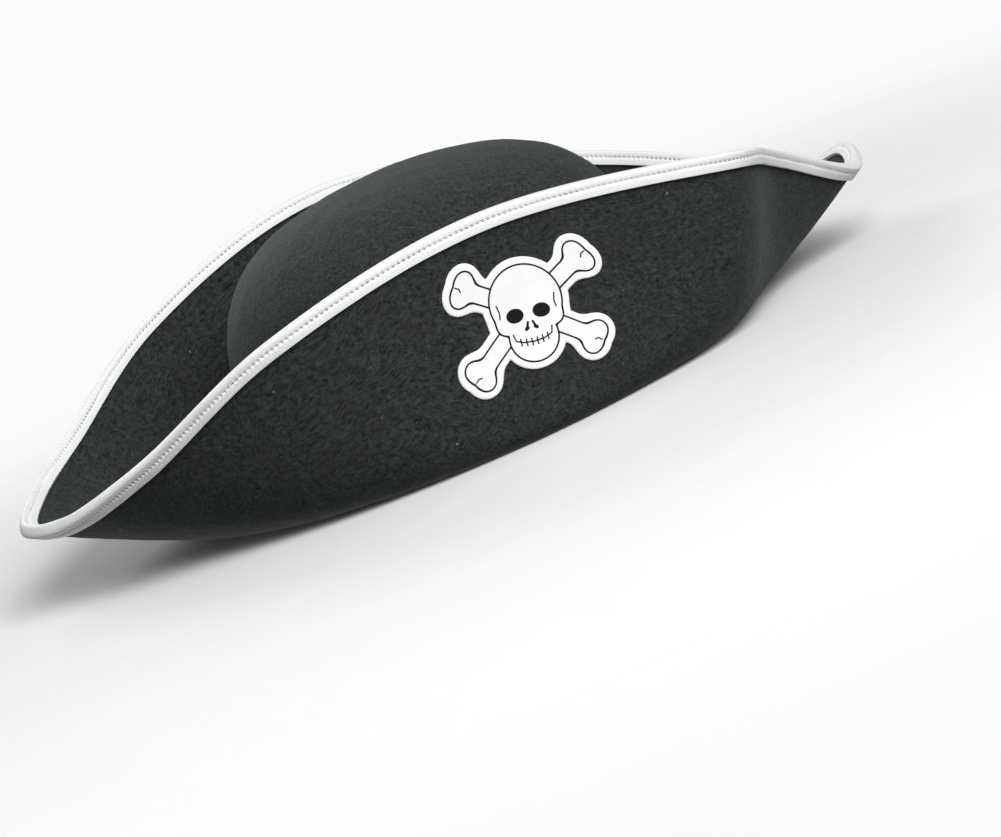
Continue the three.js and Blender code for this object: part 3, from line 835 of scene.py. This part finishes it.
def label_stitches():
    """A short row of stitches that tacks the label's top edge to the band."""
    low, high = node_box("label_thread")
    edges = np.linspace(low[0], high[0], LABEL_STITCHES + 1)
    share = np.linspace(0.1, 0.9, 7)
    x = edges[:-1, None] + np.diff(edges)[:, None] * share
    y = np.broadcast_to((low[1] + high[1]) / 2 + 0.3 * np.abs(2 * share - 1) ** 3, x.shape)
    z = np.full(x.shape, (low[2] + high[2]) / 2)
    centres = np.stack([x, y, z], -1)
    up = np.broadcast_to(np.array([0.0, -1.0, 0.0]), centres.shape)
    points, faces = tubes(centres, up, LABEL_THREAD_RADIUS)
    # The same white thread, darkened to grey with painted shade.
    piece = make_piece("label_stitches", points, faces, WHITE_THREAD_PAINTED_SHADE_LOOK,
                       ["label_thread"])
    weld(piece)


# ---------------------------------------------------------------- skull and crossbones patch

BONES = ((math.radians(36.5), 27.8), (math.radians(-33), 25.5))  # slope, and reach to the knuckles
BONE_HALF_WIDTH = 3.1
BONE_FLARE = 3.2  # how softly a bone widens into its knuckles
KNUCKLE_RADIUS = 3.2
KNUCKLE_SPREAD = 3.3
CROSSING = (0, 2.5)
MOUTH_LOW = -8.4
FINE_INK = 0.8 * INK_WIDTH


def disc(x, y, cx, cy, radius):
    return np.hypot(x - cx, y - cy) - radius


def oval(x, y, cx, cy, half_width, half_height):
    """Distance from an ellipse's outline, close to exact near the outline."""
    px, py = (x - cx) / half_width, (y - cy) / half_height
    size = np.hypot(px, py)
    slope = np.hypot(px / half_width, py / half_height)
    return (size - 1) * size / np.maximum(slope, 1e-6)


def stroke(x, y, start, end, width):
    """Distance from the outline of a straight round-ended stroke."""
    (ax, ay), (bx, by) = start, end
    length2 = (bx - ax) ** 2 + (by - ay) ** 2
    along = np.clip(((x - ax) * (bx - ax) + (y - ay) * (by - ay)) / length2, 0, 1)
    return np.hypot(x - ax - along * (bx - ax), y - ay - along * (by - ay)) - width / 2


def union(*fields):
    return np.minimum.reduce(fields)


def melt(a, b, softness):
    """A union whose inner corner is filled in."""
    near = np.maximum(softness - np.abs(a - b), 0) / softness
    return np.minimum(a, b) - near**2 * softness / 4


def skull(x, y):
    """Cranium, two cheekbones and jaw."""
    cheeks = union(disc(x, y, -8.6, -0.4, 3.7), disc(x, y, 8.6, -0.4, 3.7))
    upper = melt(disc(x, y, 0, 6.4, 13.2), cheeks, 1.5)
    return melt(upper, oval(x, y, 0, -6.6, 9.0, 9.0), 0.8)


def bone_ends(slope, reach):
    """Each end's middle, its two knuckles, and the direction outwards."""
    along = np.array([math.cos(slope), math.sin(slope)])
    across = np.array([-along[1], along[0]])
    for end in (-1, 1):
        tip = np.array(CROSSING) + end * reach * along
        yield tip, [tip + side * KNUCKLE_SPREAD * across for side in (-1, 1)], end * along


def bones(x, y):
    fields = []
    for slope, reach in BONES:
        ends = list(bone_ends(slope, reach))
        shaft = stroke(x, y, ends[0][0], ends[1][0], 2 * BONE_HALF_WIDTH)
        knuckles = [disc(x, y, *k, KNUCKLE_RADIUS) for _, pair, _ in ends for k in pair]
        fields.append(melt(shaft, union(*knuckles), BONE_FLARE))
    return union(*fields)


def creases(x, y):
    """A short curl inwards from the dip between each pair of knuckles."""
    fields = []
    for slope, reach in BONES:
        for tip, (first, _), along in bone_ends(slope, reach):
            across = (first - tip) / KNUCKLE_SPREAD
            dip = tip + 2.6 * along
            bend = dip - 1.5 * along
            fields.append(stroke(x, y, dip, bend, FINE_INK))
            fields.append(stroke(x, y, bend, bend - 0.9 * along + 0.8 * across, FINE_INK))
    return union(*fields)


def temples(x, y):
    """A short upright stroke at each temple."""
    fields = []
    for side in (-1, 1):
        line = [(side * 10.7, 7.2), (side * 10.1, 4.4), (side * 10.4, 2.2)]
        fields += [stroke(x, y, a, b, FINE_INK) for a, b in zip(line, line[1:])]
    return union(*fields)


def outline_ink(x, y):
    half = INK_WIDTH / 2
    head, both = skull(x, y), bones(x, y)
    inside_bones = np.maximum(both + half, half - head)
    line = np.maximum.reduce([union(head, both) - half, -(head + half), -inside_bones])
    return union(line, creases(x, y), temples(x, y))


def backing(x, y):
    return union(skull(x, y), bones(x, y)) - PATCH_MARGIN


def eye(side):
    return lambda x, y: oval(x, y, side * 4.9, 2, 3.2, 2.6)


def nose(side):
    """A slanting slit that widens towards its rounded foot."""
    def field(x, y):
        upper = stroke(x, y, (side * 0.9, -1.3), (side * 1.6, -3.1), 0.9)
        foot = stroke(x, y, (side * 1.4, -3.2), (side * 1.95, -3.6), 1.3)
        return union(upper, foot)
    return field


def mouth(x, y):
    """A closed line that turns up into the cheeks, crossed by six short strokes."""
    line = [(-7.2, -4.3), (-6.6, -6.8), (-3.7, -8), (0, MOUTH_LOW), (3.7, -8), (6.6, -6.8), (7.2, -4.3)]
    fields = [stroke(x, y, a, b, FINE_INK) for a, b in zip(line, line[1:])]
    for at in (-5, -3, -1, 1, 3, 5):
        middle = MOUTH_LOW + 0.03 * at**2
        fields.append(stroke(x, y, (at, middle - 1.2), (at, middle + 1.2), FINE_INK))
    return union(*fields)


def split(polygon, level):
    """The parts of a convex polygon of (x, y, distance) corners below and above a level."""
    below, above = [], []
    for p, q in zip(polygon, polygon[1:] + polygon[:1]):
        (below if p[2] <= level else above).append(p)
        if (p[2] <= level) != (q[2] <= level):
            share = (level - p[2]) / (q[2] - p[2])
            cut = tuple(a + share * (b - a) for a, b in zip(p, q))
            below.append(cut)
            above.append(cut)
    return below, above


def flat_sheet(field, reach, step, levels):
    """Polygons of (x, y, distance) corners that cover field < 0, with edges along the levels."""
    xs = np.arange(-reach[0], reach[0] + step, step)
    ys = np.arange(-reach[1], reach[1] + step, step)
    gx, gy = np.meshgrid(xs, ys)
    grid = np.stack([gx, gy, field(gx, gy)], -1)
    polygons = []
    for r in range(len(ys) - 1):
        for c in range(len(xs) - 1):
            corners = [grid[r, c], grid[r, c + 1], grid[r + 1, c + 1], grid[r + 1, c]]
            depths = [corner[2] for corner in corners]
            if min(depths) > 0:
                continue
            corners = [tuple(corner) for corner in corners]
            if max(depths) < levels[-1]:
                polygons.append(corners)
                continue
            for part in ((0, 1, 2), (0, 2, 3)):
                rest = [corners[i] for i in part]
                for level in levels:
                    rest, band = split(rest, level)
                    if level < 0 and len(band) > 2:
                        polygons.append(band)
                if len(rest) > 2:
                    polygons.append(rest)
    return polygons


def arc_to_t(arc):
    """Where a height measured up along the front's section falls on that section."""
    t = np.linspace(0, 1, 400)
    return np.interp(arc, travelled(brim_middle(np.full(t.shape, FRONT), t)), t)


def angle_at_x(t, x):
    """The angle near the front where the section's point at t has the given x."""
    low = np.full(x.shape, FRONT - 0.8)
    high = np.full(x.shape, FRONT + 0.8)
    for _ in range(26):
        middle = (low + high) / 2
        too_far = brim_middle(middle, t)[..., 0] > x
        low = np.where(too_far, middle, low)
        high = np.where(too_far, high, middle)
    return (low + high) / 2


def wrap_on_flap(points):
    """Lays flat points (x across, y up, z out) on the front of the front flap."""
    c, s = math.cos(PATCH_TILT), math.sin(PATCH_TILT)
    x = PATCH_CENTRE[0] + c * points[:, 0] - s * points[:, 1]
    t = arc_to_t(PATCH_CENTRE[1] + s * points[:, 0] + c * points[:, 1])
    return brim_point(angle_at_x(t, x), t, -(FELT / 2 + points[:, 2]))


def patch_piece(name, field, reach, step, bottom, height, look, nodes):
    """A thin die-cut piece on the flap. height(depth) gives its top, depth being the distance
    in from its cut edge."""
    levels = (0, -0.1, -0.25, -0.5)
    polygons = flat_sheet(field, reach, step, levels)
    keys = {}
    points = []
    faces = []
    for polygon in polygons:
        face = []
        for x, y, distance in polygon:
            key = (round(x, 4), round(y, 4))
            if key not in keys:
                keys[key] = len(points)
                points.append((x, y, distance))
            if keys[key] not in face:
                face.append(keys[key])
        if len(face) > 2:
            faces.append(face)
    flat = np.array(points)
    top = flat.copy()
    top[:, 2] = bottom + height(np.maximum(-flat[:, 2], 0))
    under = flat.copy()
    under[:, 2] = bottom
    size = len(points)
    edges = dict.fromkeys(pair for face in faces for pair in zip(face, face[1:] + face[:1]))
    rim = [(a, b) for a, b in edges if (b, a) not in edges]
    walls = [[b, a, size + a, size + b] for a, b in rim]
    base = [[size + i for i in face[::-1]] for face in faces]
    wrapped = np.concatenate([wrap_on_flap(top), wrap_on_flap(under)])
    piece = make_piece(name, wrapped, faces + base + walls, look, nodes, sharp=60)
    weld(piece, 1e-7)


def skull_patch():
    """The white backing with its print: outline, eyes, nose and mouth."""
    clear = 0.05
    face = clear + PATCH_THICKNESS
    ink_sunk = 0.06

    def padded(depth):
        return PATCH_THICKNESS * (0.5 + 0.5 * np.clip(depth / 0.5, 0, 1) ** 0.5)

    def printed(depth):
        return ink_sunk + INK_HEIGHT * np.clip(depth / 0.25, 0, 1) ** 0.5

    patch_piece("patch_backing_white", backing, (38, 34), 0.6, clear, padded, PATCH_LOOK,
                ["patch_backing"])

    def print_piece(name, field, reach, nodes, step=0.25):
        patch_piece(name, field, reach, step, face - ink_sunk, printed, INK_LOOK, nodes)

    print_piece("patch_print_outline", outline_ink, (34, 30), ["patch_outline"])
    print_piece("patch_print_eye_left", eye(1), (9, 6), ["patch_eye_left"], 0.2)
    print_piece("patch_print_eye_right", eye(-1), (9, 6), ["patch_eye_right"], 0.2)
    print_piece("patch_print_nose_left", nose(1), (4, 6), ["patch_nose_left"], 0.15)
    print_piece("patch_print_nose_right", nose(-1), (4, 6), ["patch_nose_right"], 0.15)
    print_piece("patch_print_mouth", mouth, (9, 11), ["patch_mouth"], 0.18)


# ---------------------------------------------------------------- stage, light and camera

# Brightnesses, then sizes in metres.
BACKGROUND = 0.965
AMBIENT = 0.15
FLOOR_RADIUS = 3
FLOOR_DROP = 0.0003
FLOOR_FADE = (0.15, 0.6)


def floor():
    """A pale floor that fades into the background. It catches the hat's shadow for the camera,
    but it can be seen through from below and lets light through to the hat's underside."""
    sides = 64
    mesh = bpy.data.meshes.new("floor")
    turn = TURN * np.arange(sides) / sides
    low = np.full(sides, -FLOOR_DROP)
    ring = np.stack([FLOOR_RADIUS * np.cos(turn), FLOOR_RADIUS * np.sin(turn), low], -1)
    mesh.from_pydata(ring.tolist(), [], [list(range(sides))])
    piece = bpy.data.objects.new("floor", mesh)
    bpy.context.scene.collection.objects.link(piece)
    g = Graph("pale_floor", Roughness=0.9)
    place = g.object_place()
    grain = g.noise(place, 20, 3)
    colour = g.blend(g.ramp(grain, 0.3, 0.7), grey(0.86), grey(0.88))
    g.set(g.shader, {"Base Color": colour})
    distance = g.add("VectorMath", {"operation": "LENGTH"}, Vector=place).outputs["Value"]
    fade = g.add("MapRange", {"interpolation_type": "SMOOTHSTEP"}, Value=distance)
    g.set(fade, {"From Min": FLOOR_FADE[0], "From Max": FLOOR_FADE[1]})
    behind = g.add("NewGeometry").outputs["Backfacing"]
    unseen = g.math("SUBTRACT", 1, g.add("LightPath").outputs["Is Camera Ray"])
    clear = g.add("BsdfTransparent").outputs[0]
    mix = g.add("MixShader")
    share = g.math("MAXIMUM", fade.outputs[0], g.math("MAXIMUM", behind, unseen))
    g.set(mix, {0: share, 1: g.shader.outputs[0], 2: clear})
    out = g.tree.nodes["Material Output"]
    g.tree.links.new(mix.outputs[0], out.inputs["Surface"])
    mesh.materials.append(g.material)


def surroundings():
    """A white studio: one brightness behind the hat, and its own strength as light."""
    world = bpy.data.worlds.new("studio")
    world.use_nodes = True
    tree = world.node_tree
    light = tree.nodes["Background"]
    light.inputs["Color"].default_value = (1, 1, 1, 1)
    light.inputs["Strength"].default_value = AMBIENT
    seen = tree.nodes.new("ShaderNodeBackground")
    seen.inputs["Strength"].default_value = BACKGROUND
    seen.inputs["Color"].default_value = (1, 1, 1, 1)
    path = tree.nodes.new("ShaderNodeLightPath")
    mix = tree.nodes.new("ShaderNodeMixShader")
    tree.links.new(path.outputs["Is Camera Ray"], mix.inputs[0])
    tree.links.new(light.outputs[0], mix.inputs[1])
    tree.links.new(seen.outputs[0], mix.inputs[2])
    tree.links.new(mix.outputs[0], tree.nodes["World Output"].inputs[0])
    bpy.context.scene.world = world


LIGHTS_AIM = Vector((0, 0, 0.05))


def soft_light(name, place, size, power):
    """A square softbox that faces the middle of the hat."""
    data = bpy.data.lights.new(name, "AREA")
    data.size = size
    data.energy = power
    lamp = bpy.data.objects.new(name, data)
    lamp.location = place
    aim = LIGHTS_AIM - Vector(place)
    lamp.rotation_euler = aim.to_track_quat("-Z", "Y").to_euler()
    bpy.context.scene.collection.objects.link(lamp)


VIEW_YAW = math.radians(12.9)
VIEW_PITCH = math.radians(9.64)
VIEW_ROLL = math.radians(23.28)
VIEW_DISTANCE = 1.2303
SENSOR = 36.0  # millimetres, as the lens
LENS = 114.84
SHIFT = (0.01925, -0.01033)


def camera():
    """The camera stands in front, a little to the wearer's right and above, and is tilted."""
    right = Vector((math.cos(VIEW_YAW), -math.sin(VIEW_YAW), 0))
    towards = Vector((-math.sin(VIEW_YAW), -math.cos(VIEW_YAW), 0))
    up = Vector((0, 0, 1))
    back = towards * math.cos(VIEW_PITCH) + up * math.sin(VIEW_PITCH)
    top = up * math.cos(VIEW_PITCH) - towards * math.sin(VIEW_PITCH)
    side = right * math.cos(VIEW_ROLL) - top * math.sin(VIEW_ROLL)
    top = top * math.cos(VIEW_ROLL) + right * math.sin(VIEW_ROLL)
    data = bpy.data.cameras.new("camera")
    data.sensor_width = SENSOR
    data.lens = LENS
    data.shift_x, data.shift_y = SHIFT
    view = bpy.data.objects.new("camera", data)
    turn = Matrix((side, top, back)).transposed().to_4x4()
    view.matrix_world = Matrix.Translation(back * VIEW_DISTANCE) @ turn
    bpy.context.scene.collection.objects.link(view)
    bpy.context.scene.camera = view


def stage():
    floor()
    surroundings()
    soft_light("key", (0.3, -1.5, 1.15), 1.4, 47)
    soft_light("fill", (-1.0, -1.3, 0.3), 1.0, 1.6)
    soft_light("rim", (-0.3, 1.5, 0.75), 1.0, 11)
    soft_light("under", (0.1, 1.0, -1.2), 1.0, 11)
    camera()
    bpy.context.scene.view_settings.view_transform = "Standard"


# ---------------------------------------------------------------- the hat

felt_crown()
felt_brim()
edge_braid()
braid_stitches(1, "braid_top_stitches", "braid_top_thread")
braid_stitches(-1, "braid_under_stitches", "braid_under_thread")
sweatband()
head_seam_stitches()
skull_patch()
care_label()
label_stitches()
stage()
